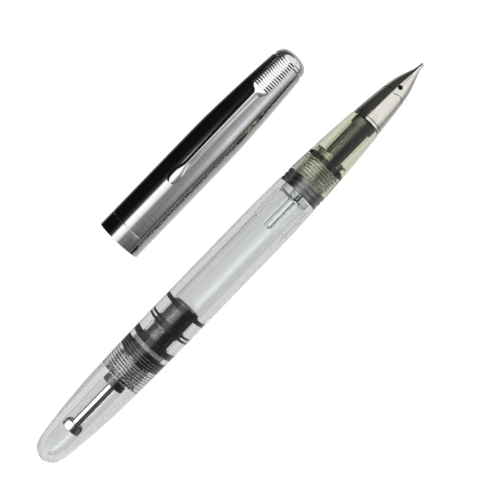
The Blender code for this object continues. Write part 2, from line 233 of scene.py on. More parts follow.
def turned(node, outline, material, axis=None, changes=(), marks=(), second=None, segments=SEGMENTS,
           sharp=40):
    """A turned piece, named after the CAD node that it stands for, from (place, radius) points.

    A change or a mark applies between two places, where the outline runs at its own radius. A change alters
    the radius by place and angle, and a mark gives faces the second material.
    """
    origin = (axis or PEN_AXIS) / MM
    bm = bmesh.new()
    rings = []
    for place, radius in outline:
        ring = []
        for step in range(segments if radius else 1):
            angle = FULL_TURN * step / segments
            here = radius
            for low, high, surface, change in changes:
                if low <= place <= high and abs(radius - surface) < SAME_RADIUS:
                    here += change(place, angle)
            point = Vector((place, here * math.sin(angle), here * math.cos(angle)))
            ring.append(bm.verts.new(origin + point))
        rings.append(ring)
    for index, (ring, after) in enumerate(zip(rings, rings[1:])):
        faces = join_rings(bm, ring, after)
        place = (outline[index][0] + outline[index + 1][0]) / 2
        for low, high, surface, marked in marks:
            if low <= place <= high and abs(outline[index][1] - surface) < SAME_RADIUS:
                for step, face in enumerate(faces):
                    face.material_index = int(marked(place, FULL_TURN * (step + 0.5) / segments))
    if outline[0][1] and outline[-1][1]:
        join_rings(bm, rings[-1], rings[0])
    return new_object(node + "_piece", bm, node, material, second, sharp)


def along(points, place):
    """Smoothly joined value at a place, from (place, value) points in rising order."""
    if place <= points[0][0]:
        return points[0][1]
    for index, (start, end) in enumerate(zip(points, points[1:])):
        if place <= end[0]:
            before = points[max(0, index - 1)]
            after = points[min(len(points) - 1, index + 2)]
            span = end[0] - start[0]
            t = (place - start[0]) / span
            slope_in = (end[1] - before[1]) / (end[0] - before[0]) * span
            slope_out = (after[1] - start[1]) / (after[0] - start[0]) * span
            t2, t3 = t * t, t ** 3
            return (start[1] * (2 * t3 - 3 * t2 + 1) + slope_in * (t3 - 2 * t2 + t)
                    + end[1] * (3 * t2 - 2 * t3) + slope_out * (t3 - t2))
    return points[-1][1]


# Materials

def new_material(name):
    material = bpy.data.materials.new(name)
    material.use_nodes = True
    return material, material.node_tree.nodes, material.node_tree.links


def set_inputs(shader, **values):
    for name, value in values.items():
        shader.inputs[name.replace("_", " ")].default_value = value


def textured(nodes, links, scale, detail=3.0, stretch=(1, 1, 1)):
    """A noise in the piece's own coordinates, with scale in features per metre."""
    place = nodes.new("ShaderNodeTexCoord")
    mapping = nodes.new("ShaderNodeMapping")
    mapping.inputs["Scale"].default_value = stretch
    noise = nodes.new("ShaderNodeTexNoise")
    noise.inputs["Scale"].default_value = scale
    noise.inputs["Detail"].default_value = detail
    links.new(place.outputs["Object"], mapping.inputs["Vector"])
    links.new(mapping.outputs["Vector"], noise.inputs["Vector"])
    return noise.outputs["Fac"]


def ranged(nodes, links, source, low, high, from_low=0.3, from_high=0.7):
    """The source's usual range stretched to run from low to high."""
    node = nodes.new("ShaderNodeMapRange")
    links.new(source, node.inputs["Value"])
    node.inputs["From Min"].default_value = from_low
    node.inputs["From Max"].default_value = from_high
    node.inputs["To Min"].default_value = low
    node.inputs["To Max"].default_value = high
    return node.outputs["Result"]


def bumped(nodes, links, height, shader, distance, strength=1.0):
    bump = nodes.new("ShaderNodeBump")
    bump.inputs["Distance"].default_value = distance
    bump.inputs["Strength"].default_value = strength
    links.new(height, bump.inputs["Height"])
    links.new(bump.outputs["Normal"], shader.inputs["Normal"])


def mixed(nodes, links, factor, first, second):
    node = nodes.new("ShaderNodeMix")
    node.data_type = "RGBA"
    node.inputs["A"].default_value = (*first, 1.0)
    node.inputs["B"].default_value = (*second, 1.0)
    links.new(factor, node.inputs["Factor"])
    return node.outputs["Result"]


def clear_plastic(name, light, dark, rough=(0.0, 0.012), clear=1.0):
    """Moulded transparent plastic: faint flow streaks in its tint and a polish that varies a little."""
    material, nodes, links = new_material(name)
    shader = nodes["Principled BSDF"]
    set_inputs(shader, Transmission_Weight=clear, IOR=1.49)
    streaks = textured(nodes, links, 60, stretch=(0.25, 1, 1))
    tint = mixed(nodes, links, ranged(nodes, links, streaks, 0, 1), light, dark)
    links.new(tint, shader.inputs["Base Color"])
    polish = textured(nodes, links, 900)
    links.new(ranged(nodes, links, polish, *rough), shader.inputs["Roughness"])
    bumped(nodes, links, streaks, shader, 0.000004, 0.4)
    return material


def dark_plastic(name, colour, rough, gloss=0.5):
    """Opaque plastic or rubber with a fine grain."""
    material, nodes, links = new_material(name)
    shader = nodes["Principled BSDF"]
    set_inputs(shader, IOR=1.55, Specular_IOR_Level=gloss)
    grain = textured(nodes, links, 2500)
    lighter = tuple(min(1.0, c * 2 + 0.0005) for c in colour)
    tint = mixed(nodes, links, ranged(nodes, links, grain, 0, 1), colour, lighter)
    links.new(tint, shader.inputs["Base Color"])
    links.new(ranged(nodes, links, grain, rough * 0.8, rough * 1.3), shader.inputs["Roughness"])
    bumped(nodes, links, grain, shader, 0.0000006, 0.4)
    return material


def turned_metal(name, colour, shade, rough, line_scale, line_depth, anisotropy=0.0):
    """Metal with fine marks round the X axis, as a lathe or a brush leaves them."""
    material, nodes, links = new_material(name)
    shader = nodes["Principled BSDF"]
    set_inputs(shader, Metallic=1.0, Anisotropic=anisotropy, Anisotropic_Rotation=0.25)
    if anisotropy:
        tangent = nodes.new("ShaderNodeTangent")
        tangent.direction_type = "RADIAL"
        tangent.axis = "X"
        links.new(tangent.outputs["Tangent"], shader.inputs["Tangent"])
    lines = textured(nodes, links, line_scale, detail=4.0, stretch=(1, 0.02, 0.02))
    tint = mixed(nodes, links, ranged(nodes, links, lines, 0, 1), shade, colour)
    links.new(tint, shader.inputs["Base Color"])
    links.new(ranged(nodes, links, lines, *rough), shader.inputs["Roughness"])
    bumped(nodes, links, lines, shader, line_depth, 0.6)
    return material


def polished_metal(name, colour, shade, rough):
    """Bright metal with a faint haze and hairline marks."""
    material, nodes, links = new_material(name)
    shader = nodes["Principled BSDF"]
    set_inputs(shader, Metallic=1.0)
    haze = textured(nodes, links, 300)
    tint = mixed(nodes, links, ranged(nodes, links, haze, 0, 1), colour, shade)
    links.new(tint, shader.inputs["Base Color"])
    links.new(ranged(nodes, links, haze, *rough), shader.inputs["Roughness"])
    hairlines = textured(nodes, links, 1500, stretch=(0.06, 1, 1))
    bumped(nodes, links, hairlines, shader, 0.000001, 0.4)
    return material


CLEAR = clear_plastic("clear_plastic", (0.94, 0.95, 0.95), (0.915, 0.93, 0.93))
LINER = clear_plastic("liner_plastic", (0.86, 0.87, 0.86), (0.80, 0.81, 0.80), rough=(0.25, 0.4))
WASHER = clear_plastic("washer_plastic", (0.85, 0.85, 0.85), (0.75, 0.75, 0.75), rough=(0.2, 0.35),
                       clear=0.5)
TINTED = clear_plastic("tinted_plastic", (0.90, 0.92, 0.76), (0.86, 0.885, 0.70))
# Grey, nearly opaque faces in thread roots: painted shade lines on the clear threads, painted highlight lines
# on the black pump collar's thread.
PAINTED_THREAD_SHADE_AND_HIGHLIGHT = clear_plastic("painted_thread_shade_and_highlight", (0.54, 0.55, 0.55), (0.45, 0.46, 0.46), rough=(0.3, 0.45),
                        clear=0.1)
BLACK = dark_plastic("black_plastic", (0.002, 0.002, 0.0035), 0.2)
RUBBER = dark_plastic("black_rubber", (0.002, 0.002, 0.0025), 0.4)
FEED_BLACK = dark_plastic("feed_plastic", (0.002, 0.002, 0.003), 0.3, gloss=0.15)
CLUTCH_STEEL = turned_metal("clutch_steel", (0.34, 0.33, 0.32), (0.2, 0.196, 0.192), rough=(0.25, 0.4),
                            line_scale=9000, line_depth=0.000003)
NIB_STEEL = polished_metal("nib_steel", (0.83, 0.805, 0.745), (0.73, 0.71, 0.655), (0.08, 0.16))
TIP_ALLOY = polished_metal("tipping_alloy", (0.75, 0.74, 0.72), (0.62, 0.61, 0.60), (0.2, 0.32))
ROD_STEEL = turned_metal("plunger_steel", (0.86, 0.84, 0.85), (0.74, 0.72, 0.74), rough=(0.08, 0.2),
                         line_scale=6000, line_depth=0.000002)
SPRING_STEEL = polished_metal("spring_steel", (0.66, 0.66, 0.66), (0.5, 0.5, 0.5), (0.2, 0.35))
CAP_STEEL = turned_metal("cap_steel", (0.66, 0.66, 0.67), (0.58, 0.58, 0.59), rough=(0.09, 0.14),
                         line_scale=3200, line_depth=0.000001, anisotropy=0.7)
POLISHED = polished_metal("polished_steel", (0.82, 0.83, 0.84), (0.74, 0.75, 0.76), (0.05, 0.12))
# Dark material laid in the nib's engraved lines and the clip's rib grooves: painted shade in those recesses.
SHADED = dark_plastic("shaded_groove", (0.015, 0.015, 0.018), 0.5)


# Pen body

def make_blind_cap():
    """The clear dome over the plunger, with its threaded spigot."""
    dome = smooth([(0, 0), (0.3, 1.35), (1.5, 2.9), (3.3, 3.64), (5.2, 3.99), (9, 4.46), (13, 4.86),
                   (18.3, 5.27), (22, 5.43), (TAIL_SEAM - 0.08, 5.53)])
    seam = [(TAIL_SEAM, 5.47), (TAIL_SEAM, 4.2)]
    first, last, root = TAIL_SEAM + 0.2, SPIGOT_END - 0.3, 4.16
    end = eased([(SPIGOT_END - 0.2, 4.14), (SPIGOT_END, 4.1, 0.1), (SPIGOT_END, 3.1, 0.1),
                 (SPIGOT_END - 1, 3.09)], closed=False)
    bore = smooth([(29, 3.06), (20, 2.90), (12, 2.74), (8, 2.65), (5.3, 2.45), (3.4, 1.96), (2.3, 1.2),
                   (1.9, 0)])
    ridges = (first, last, root, helix(FINE_PITCH, OUTER_THREAD_DEPTH, first, last))
    # The root faces of the spigot's thread take the grey material: painted shade lines on the clear thread.
    cut = (first, last, root, in_root(FINE_PITCH, 0.45))
    outline = dome + seam + thread(first, last, root, FINE_PITCH) + end + bore
    turned("blind_cap", outline, CLEAR, changes=[ridges], marks=[cut], second=PAINTED_THREAD_SHADE_AND_HIGHLIGHT)


def flute(start, end, count, depth):
    """Shallow ribs moulded along a bore, which stand in from its wall."""
    def change(place, angle):
        fade = faded(place, start, end, 0.4)
        crest = math.cos(count * angle + 0.9)
        return -depth * fade * max(0.0, (crest - 0.55) / 0.45) ** 0.5
    return change


def make_barrel():
    """The clear tube: threaded mouth, ink chamber with ribs along its front, shoulder and neck."""
    side = smooth([(TAIL_SEAM + 0.2, 5.56), (30, 5.66), (35, 5.75), (43, 5.80), (60, 5.80), (75, 5.80),
                   (80, 5.74), (85.7, 5.57)])
    shoulder = eased([(85.8, 5.5), (85.8, 4.75), (NECK_END, 4.75, 0.1), (NECK_END, CHAMBER_R, 0.1),
                      (84.0, CHAMBER_R)], closed=False)
    rib_start, rib_end = 75.4, 83.9
    ribbed = thread(rib_start, rib_end, CHAMBER_R, 2.0)[::-1] + [(75.0, CHAMBER_R)]
    step_up = eased([(60, CHAMBER_R), (CHAMBER_START, CHAMBER_R, 0.15), (CHAMBER_START, 4.5, 0.05),
                     (CHAMBER_START - 0.3, 4.5)], closed=False)
    first, last = TAIL_SEAM + 0.3, SPIGOT_END
    mouth = thread(first, last, BORE_THREAD_R, FINE_PITCH)[::-1]
    mouth += [(TAIL_SEAM + 0.1, BORE_THREAD_R), (TAIL_SEAM + 0.1, 5.48)]
    inner_thread = (first, last, BORE_THREAD_R, helix(FINE_PITCH, INNER_THREAD_DEPTH, first, last))
    ribs = (rib_start, rib_end, CHAMBER_R, flute(rib_start, rib_end, 6, 0.3))
    turned("barrel", side + shoulder + ribbed + step_up + mouth, CLEAR, changes=[inner_thread, ribs])


def make_clutch_ring():
    """The steel ring on the barrel's neck, with two grooves."""
    start, end = 85.86, GRIP_START - 0.06
    outline = [(start, 4.8), (start, 5.40, 0.08)]
    for groove in (86.75, 88.0):
        outline += [(groove, 5.42, 0.06), (groove + 0.12, 5.26, 0.06), (groove + 0.42, 5.26, 0.06)]
        outline += [(groove + 0.54, 5.42, 0.06)]
    outline += [(end, 5.40, 0.08), (end, 4.8)]
    turned("clutch_ring", eased(outline), CLUTCH_STEEL)


def make_connector():
    """The clear threaded sleeve between the barrel's neck and the grip, with a socket for the collector."""
    socket_floor = 91.5
    rear = eased([(socket_floor, 0.95), (CONNECTOR_START, 0.95, 0.1), (CONNECTOR_START, 3.8, 0.55),
                  (89.2, 3.8), (89.4, 3.85), (89.4, 4.12)], closed=False, steps=6)
    first, last, root = 89.5, 94.5, 4.14
    front = eased([(94.6, 4.2), (94.6, 3.6), (96.0, 3.6), (96.0, 4.34, 0.08), (CONNECTOR_END, 4.34, 0.15),
                   (CONNECTOR_END, 2.45, 0.1), (socket_floor, 2.45)], closed=False)
    ridges = (first, last, root, helix(FINE_PITCH, OUTER_THREAD_DEPTH, first, last))
    # The root faces of the connector's thread take the grey material: painted shade lines on the clear
    # thread.
    cut = (first, last, root, in_root(FINE_PITCH, 0.5))
    outline = rear + thread(first, last, root, FINE_PITCH) + front
    turned("connector", outline, CLEAR, changes=[ridges], marks=[cut], second=PAINTED_THREAD_SHADE_AND_HIGHLIGHT)


def make_grip():
    """The tinted shell that the fingers hold, and the rubber ring that seals it to the connector."""
    side = smooth([(GRIP_START + 0.1, 5.42), (92, 5.31), (96, 5.06), (100.7, 4.76), (104.4, 4.46),
                   (107.6, 4.19)])
    front = eased([(107.8, 4.17), (GRIP_END, 4.06, 0.2), (GRIP_END, 3.0, 0.15),
                   (CONNECTOR_END + 0.1, 3.0, 0.3), (CONNECTOR_END + 0.1, GRIP_THREAD_R),
                   (94.8, GRIP_THREAD_R)], closed=False)
    first, last = 89.6, 94.6
    mouth = thread(first, last, GRIP_THREAD_R, FINE_PITCH)[::-1]
    mouth += [(GRIP_START, GRIP_THREAD_R), (GRIP_START, 5.36)]
    inner_thread = (first, last, GRIP_THREAD_R, helix(FINE_PITCH, INNER_THREAD_DEPTH, first, last))
    turned("grip_shell", side + front + mouth, TINTED, changes=[inner_thread])
    seal = eased([(94.66, 3.62, 0.1), (94.66, 4.48, 0.25), (95.94, 4.48, 0.25), (95.94, 3.62, 0.1)])
    turned("grip_seal_ring", seal, RUBBER)


def make_collector():
    """The finned ink buffer inside the grip."""
    outline = [(91.7, 1.1), (91.7, 2.35, 0.1), (CONNECTOR_END + 0.1, 2.35)]
    fins, pitch, fin_width, fin_r, core_r = 24, 0.36, 0.22, 2.44, 1.7
    for fin in range(fins):
        start = 98.0 + fin * pitch
        end = start + fin_width
        outline += [(start, core_r), (start, fin_r, 0.04), (end, fin_r, 0.04), (end, core_r)]
    outline += [(106.8, core_r), (106.8, 2.9, 0.1), (108.6, 2.9, 0.1), (108.6, 2.5), (109.1, 2.5)]
    outline += [(109.1, 3.55, 0.1), (113.0, 3.15), (113.0, 1.1)]
    turned("collector", eased(outline, steps=2), BLACK, segments=64, sharp=30)


NIB_OUTLINE = [(109, 3.95), (110, 3.87), (112, 3.70), (114, 3.50), (116, 3.28), (118, 3.03), (119.5, 2.78),
               (121.3, 2.40), (123.2, 1.80), (125, 1.12), (126.2, 0.68), (NIB_FRONT, 0.42)]
NIB_WALL = 0.28
NIB_HOLE = 119.9
NIB_HOLE_R = 0.60
NIB_SLIT = 0.07


def make_feed():
    """The ink channel under the nib."""
    def grooves(place, angle):
        """Air grooves across the underside of the feed's nose."""
        under = max(0.0, -math.cos(angle) - 0.55) / 0.45
        return -0.22 * min(1.0, under * 3) * (1 if (place * 2.2) % 1 < 0.5 else 0)

    places = [113.15 + step * 0.1 for step in range(99)]
    nose = [(place, along(NIB_OUTLINE, place) - NIB_WALL - 0.12) for place in places]
    tip = smooth([(123.2, 1.38), (124.0, 1.0), (124.7, 0.55), (124.9, 0)], 4)
    outline = [(99.5, 0), (99.5, 0.9), (99.7, 1.0), (113.1, 1.0)] + nose + tip
    grooved = [(place, place, radius, grooves) for place, radius in nose if 114.0 < place < 121.5]
    turned("feed", outline, FEED_BLACK, changes=grooved, segments=64, sharp=35)


def nib_wrap(place):
    """How far each side of the nib's sheet reaches round from the top, in radians."""
    full, open_at_tip, opening_start, opening_length = 178.2, 84.0, 112.5, 8.0
    opened = min(1.0, max(0.0, (place - opening_start) / opening_length))
    opened = opened * opened * (3 - 2 * opened)
    return math.radians(full + (open_at_tip - full) * opened)


def nib_point(place, angle, lift=0.0):
    radius = along(NIB_OUTLINE, place) + lift
    return PEN_AXIS / MM + Vector((place, radius * math.sin(angle), radius * math.cos(angle)))


def on_border(place, angle):
    """Whether a place lies on one of the two fine lines engraved across the nib. The faces there take painted
    shade.
    """
    front = 117.8 + 1.3 * min(abs(angle), 0.5) - 0.9 * max(0.0, abs(angle) - 0.5)
    return abs(place - front) < 0.09 or abs(place - NIB_REAR - 0.75) < 0.06


def make_nib():
    """The conical nib: one rolled sheet, with a breather hole and a slit cut through it."""
    rows, columns, line_depth = 200, 96, 0.04
    places = [NIB_REAR + (NIB_FRONT - NIB_REAR) * row / rows for row in range(rows + 1)]
    bm = bmesh.new()
    sheets = []
    for lift in (0.0, -NIB_WALL):
        sheet = []
        for place in places:
            wrap = nib_wrap(place)
            angles = [wrap * (2 * column / columns - 1) for column in range(columns + 1)]
            lifts = [lift - line_depth * on_border(place, angle) for angle in angles]
            sheet.append([bm.verts.new(nib_point(place, *spot)) for spot in zip(angles, lifts)])
        sheets.append(sheet)
    outer, inner = sheets
    for row in range(rows):
        for column in range(columns):
            face = bm.faces.new([outer[row][column], outer[row][column + 1], outer[row + 1][column + 1],
                                 outer[row + 1][column]])
            angle = nib_wrap(places[row]) * ((2 * column + 1) / columns - 1)
            # Faces on the engraved lines take the dark material: painted shade in the lines.
            face.material_index = int(on_border((places[row] + places[row + 1]) / 2, angle))
            bm.faces.new([inner[row][column], inner[row + 1][column], inner[row + 1][column + 1],
                          inner[row][column + 1]])
        for side in (0, columns):
            bm.faces.new([outer[row][side], outer[row + 1][side], inner[row + 1][side], inner[row][side]])
    for end in (0, rows):
        for column in range(columns):
            bm.faces.new([outer[end][column], outer[end][column + 1], inner[end][column + 1],
                          inner[end][column]])
    piece = new_object("nib_piece", bm, "nib", NIB_STEEL, SHADED, 30)
    centre = PEN_AXIS + Vector((NIB_HOLE, 0, 0)) * MM

    hole = bmesh.new()
    bmesh.ops.create_cone(hole, cap_ends=True, segments=48, radius1=NIB_HOLE_R * MM,
                          radius2=NIB_HOLE_R * MM, depth=4 * MM,
                          matrix=Matrix.Translation(centre + Vector((0, 0, 2.8 * MM))))
    slit = bmesh.new()
    length = 8.4 * MM
    middle = Matrix.Translation(centre + Vector((length / 2, 0, 2.5 * MM)))
    bmesh.ops.create_cube(slit, size=1.0,
                          matrix=middle @ Matrix.Diagonal((length, NIB_SLIT * MM, 5 * MM, 1)))
    cut_away(piece, hole)
    cut_away(piece, slit)
    piece.data.shade_smooth()
    piece.data.set_sharp_from_angle(angle=math.radians(30))


def cut_away(piece, bm):
    """Subtracts a closed shape from a piece and keeps the result as its mesh."""
    mesh = bpy.data.meshes.new("cutter")
    bm.to_mesh(mesh)
    bm.free()
    tool = bpy.data.objects.new("cutter", mesh)
    bpy.context.scene.collection.objects.link(tool)
    cut = piece.modifiers.new("cut", "BOOLEAN")
    cut.operation = "DIFFERENCE"
    cut.solver = "EXACT"
    cut.object = tool
    bpy.context.view_layer.update()
    result = bpy.data.meshes.new_from_object(piece.evaluated_get(bpy.context.evaluated_depsgraph_get()))
    piece.modifiers.clear()
    piece.data = result
    bpy.data.objects.remove(tool)


def make_tipping():
    start, end = stations("nib_tipping")
    ball = smooth([(start, 0), (start + 0.02, 0.2), (start + 0.1, 0.38), (start + 0.3, 0.42),
                   (end - 0.2, 0.33), (end - 0.04, 0.16), (end, 0)], 5)
    turned("nib_tipping", ball, TIP_ALLOY, segments=32)


def make_breather_tube():
    start, end = stations("breather_tube")
    outline = eased([(start, 0.45, 0.05), (start, 0.8, 0.08), (end, 0.8), (end, 0.45)])
    turned("breather_tube", outline, CLEAR, segments=48)


# Filler

def make_housing():
    """What holds the plunger in the barrel's tail: collar, washer, seal, guide tube and bush."""
    reach = BORE_THREAD_R + WALL_BITE
    start, end = COLLAR_START, COLLAR_END
    first, last = start + 0.1, end - 0.1
    collar = [(start, SLEEVE_R), (start, 4.3), (first - 0.02, reach)]
    collar += thread(first, last, reach, FINE_PITCH) + [(end, reach - 0.05), (end, SLEEVE_R)]
    # The root faces of the collar's thread take the grey material: painted highlight lines on the black
    # collar, standing in for light caught by the clear barrel thread around it.
    cut = (first, end - 1.0, reach, in_root(FINE_PITCH, 0.15))
    turned("pump_collar", collar, BLACK, marks=[cut], second=PAINTED_THREAD_SHADE_AND_HIGHLIGHT)
    start, end = stations("collar_washer")
    washer = eased([(start, SLEEVE_R), (start, 4.4, 0.15), (end, 4.4, 0.15), (end, SLEEVE_R)])
    turned("collar_washer", washer, WASHER)
    reach = CHAMBER_R + WALL_BITE
    start, end = stations("pump_seal")
    seal = eased([(start, SLEEVE_R), (start, reach, 0.1), (end - 0.1, reach, 0.15), (end, 3.3, 0.1),
                  (end, SLEEVE_R)])
    turned("pump_seal", seal, RUBBER)
    start, end = stations("guide_tube")
    flange, front_wall = stations("pump_seal")[1] + 0.1, stations("return_spring")[1] + 0.1
    tube = eased([(start, 1.9, 0.1), (start, GUIDE_R, 0.55), (flange, GUIDE_R), (flange, 3.2, 0.08),
                  (end, 3.2, 0.12), (end, 1.2, 0.1), (front_wall, 1.2), (front_wall, 1.9)], steps=6)
    turned("guide_tube", tube, BLACK)
    start, end = stations("guide_bush")
    bush = eased([(start, 1.2, 0.1), (start, 1.85), (end, 1.85), (end, 1.2)])
    turned("guide_bush", bush, BLACK, segments=48)


def make_plunger():
    """The button, the rod and the piston with its two seals."""
    start, end = stations("plunger_button")
    button = eased([(start, 0), (start, 2.35, 0.3), (end - 0.5, 2.35, 0.3), (end, 1.9, 0.4), (end, 0)],
                   closed=False, steps=6)
    turned("plunger_button", button, ROD_STEEL)
    flange = stations("return_spring")[0] - 0.1
    start, end = stations("plunger_rod")
    rod = eased([(start, 0), (start, ROD_R), (flange - 0.5, ROD_R), (flange - 0.5, 1.75, 0.08),
                 (flange, 1.75, 0.08), (flange, ROD_R), (end, ROD_R, 0.2), (end, 0)], closed=False)
    turned("plunger_rod", rod, ROD_STEEL, segments=64)

    rear_start, rear_end = stations("piston_seal_rear")
    front_start, front_end = stations("piston_seal_front")
    start, end = stations("piston_body")
    body = [(end, 0), (end, PISTON_R, 0.12)]
    seat_gap, seat_r = 0.03, 2.85
    for seat_start, seat_end in ((front_start, front_end), (rear_start, rear_end)):
        body += [(seat_end + seat_gap, PISTON_R), (seat_end + seat_gap, seat_r)]
        body += [(seat_start - seat_gap, seat_r), (seat_start - seat_gap, PISTON_R)]
    rod_end = stations("plunger_rod")[1] + 0.1
    body += [(start, PISTON_R, 0.12), (start, 1.15), (rod_end, 1.15), (rod_end, 0)]
    turned("piston_body", eased(body, closed=False), BLACK)
    reach = CHAMBER_R + WALL_BITE
    middle = (rear_start + rear_end) / 2
    rear = [(rear_start, SLEEVE_R), (rear_start, 3.6, 0.1), (rear_start + 0.1, reach, 0.1)]
    rear += [(middle - 0.2, reach, 0.1), (middle, 3.5, 0.1), (middle + 0.2, reach, 0.1)]
    rear += [(rear_end - 0.1, reach, 0.1), (rear_end, 3.6, 0.1), (rear_end, SLEEVE_R)]
    turned("piston_seal_rear", eased(rear), RUBBER)
    front = [(front_start, SLEEVE_R), (front_start, 3.6, 0.1), (front_start + 0.1, reach, 0.1)]
    front += [(front_end - 0.1, reach, 0.1), (front_end, 3.6, 0.1), (front_end, SLEEVE_R)]
    turned("piston_seal_front", eased(front), RUBBER)


def make_spring():
    """The return spring, made at one length. The real spring shortens as the plunger goes in."""
    radius, wire, turns, sides, per_turn = 1.48, 0.13, 10, 10, 32
    start, end = stations("return_spring")
    start, end = start + wire, end - wire
    origin = PEN_AXIS / MM
    steps = turns * per_turn
    slope = (end - start) / (FULL_TURN * turns * radius)
    bm = bmesh.new()
    rings = []
    for step in range(steps + 1):
        angle = FULL_TURN * step / per_turn
        outward = Vector((0, math.cos(angle), math.sin(angle)))
        forward = Vector((slope, -math.sin(angle), math.cos(angle))).normalized()
        across = outward.cross(forward)
        centre = origin + Vector((start + (end - start) * step / steps, 0, 0)) + outward * radius
        ring = []
        for side in range(sides):
            turn = FULL_TURN * side / sides
            direction = outward * math.cos(turn) + across * math.sin(turn)
            ring.append(bm.verts.new(centre + direction * wire))
        rings.append(ring)
    for first, second in zip(rings, rings[1:]):
        join_rings(bm, first, second)
    bm.faces.new(rings[0])
    bm.faces.new(rings[-1])
    piece = new_object("return_spring_piece", bm, "return_spring", SPRING_STEEL)
    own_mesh(piece)


# Cap

CAP_OUTLINE = [(0, CAP_R), (20, CAP_R), (33, CAP_R - 0.02), (38, 5.50), (42.2, 5.30), (47.9, 4.98),
               (53.5, 4.60), (56.5, 4.34)]


def make_cap_shell():
    """The brushed steel shell, with a line turned round it near the mouth."""
    line, line_r = 4.0, CAP_R - 0.06
    mouth = eased([(0, 5.5, 0.05), (0, CAP_R, 0.12), (line, CAP_R, 0.03), (line + 0.1, line_r, 0.03),
                   (line + 0.25, line_r, 0.03), (line + 0.35, CAP_R, 0.03), (6, CAP_R)], closed=False)
    places = [8 + (56.2 - 8) * step / 60 for step in range(61)]
    side = [(place, along(CAP_OUTLINE, place)) for place in places]
    top = eased([(56.3, 4.36), (56.4, 4.26), (56.4, CAP_BUSH_R), (55.95, CAP_BUSH_R), (55.95, 4.1)],
                closed=False)
    inside = [(place, along(CAP_OUTLINE, place) - 0.2) for place in reversed(places[::4])]
    turned("cap_shell", mouth + side + top + inside, CAP_STEEL, CAP_AXIS, segments=128)


def make_cap_liner():
    """The plastic inner cap."""
    places = [8.6, 20, 33, 38, 42.2, 47.9, 53.5]
    outer = [(place, along(CAP_OUTLINE, place) - 0.3) for place in places]
    inner = eased([(55.6, 4.0, 0.2), (55.8, 3.8, 0.2), (55.8, CAP_BUSH_R), (54.8, CAP_BUSH_R),
                   (54.8, 3.4, 0.3), (53.5, 3.7), (42.2, 4.35, 1.0), (22, 4.5, 2.0), (8.6, 5.22, 0.05)],
                  closed=False)
    turned("cap_inner_liner", outer + inner, LINER, CAP_AXIS)


def make_cap_top():
    """The clip's fixing ring, the rounded finial and the bush that draws them together."""
    ring = eased([(56.65, CAP_BUSH_R), (56.65, 4.12, 0.08), (57.3, 4.04, 0.08), (57.3, CAP_BUSH_R)])
    turned("clip_ring", ring, POLISHED, CAP_AXIS)
    dome = smooth([(59.6, 1.2), (59.52, 2.1), (59.2, 3.0), (58.6, 3.66), (57.9, 4.02), (57.45, 4.13)], 6)
    finial = [(59.6, 0)] + dome + [(57.4, 4.08), (57.4, CAP_BUSH_R), (58.9, CAP_BUSH_R), (58.9, 0)]
    turned("cap_finial", finial, POLISHED, CAP_AXIS, sharp=50)
    bush = eased([(53.8, 0), (53.8, 3.0, 0.15), (54.7, 3.0, 0.1), (54.7, 1.9), (58.8, 1.9), (58.8, 0)],
                 closed=False)
    turned("cap_bush", bush, CAP_STEEL, CAP_AXIS, segments=48)


CLIP_TIP = 17.9
CLIP_ROOT = 58.6
RIB_START = 47.9
RIB_END = 56.9
RIB_PITCH = 0.66


def in_groove(place, y, half):
    """Whether a place on the clip's panel lies between two ribs. The groove there is cut in and carries
    painted shade. The middle and the edges stay plain.
    """
    spine, edge, groove_share = 0.3, 0.25, 0.42
    between = spine < abs(y) < half - edge
    return RIB_START < place < RIB_END and between and (place - RIB_START) / RIB_PITCH % 1 < groove_share


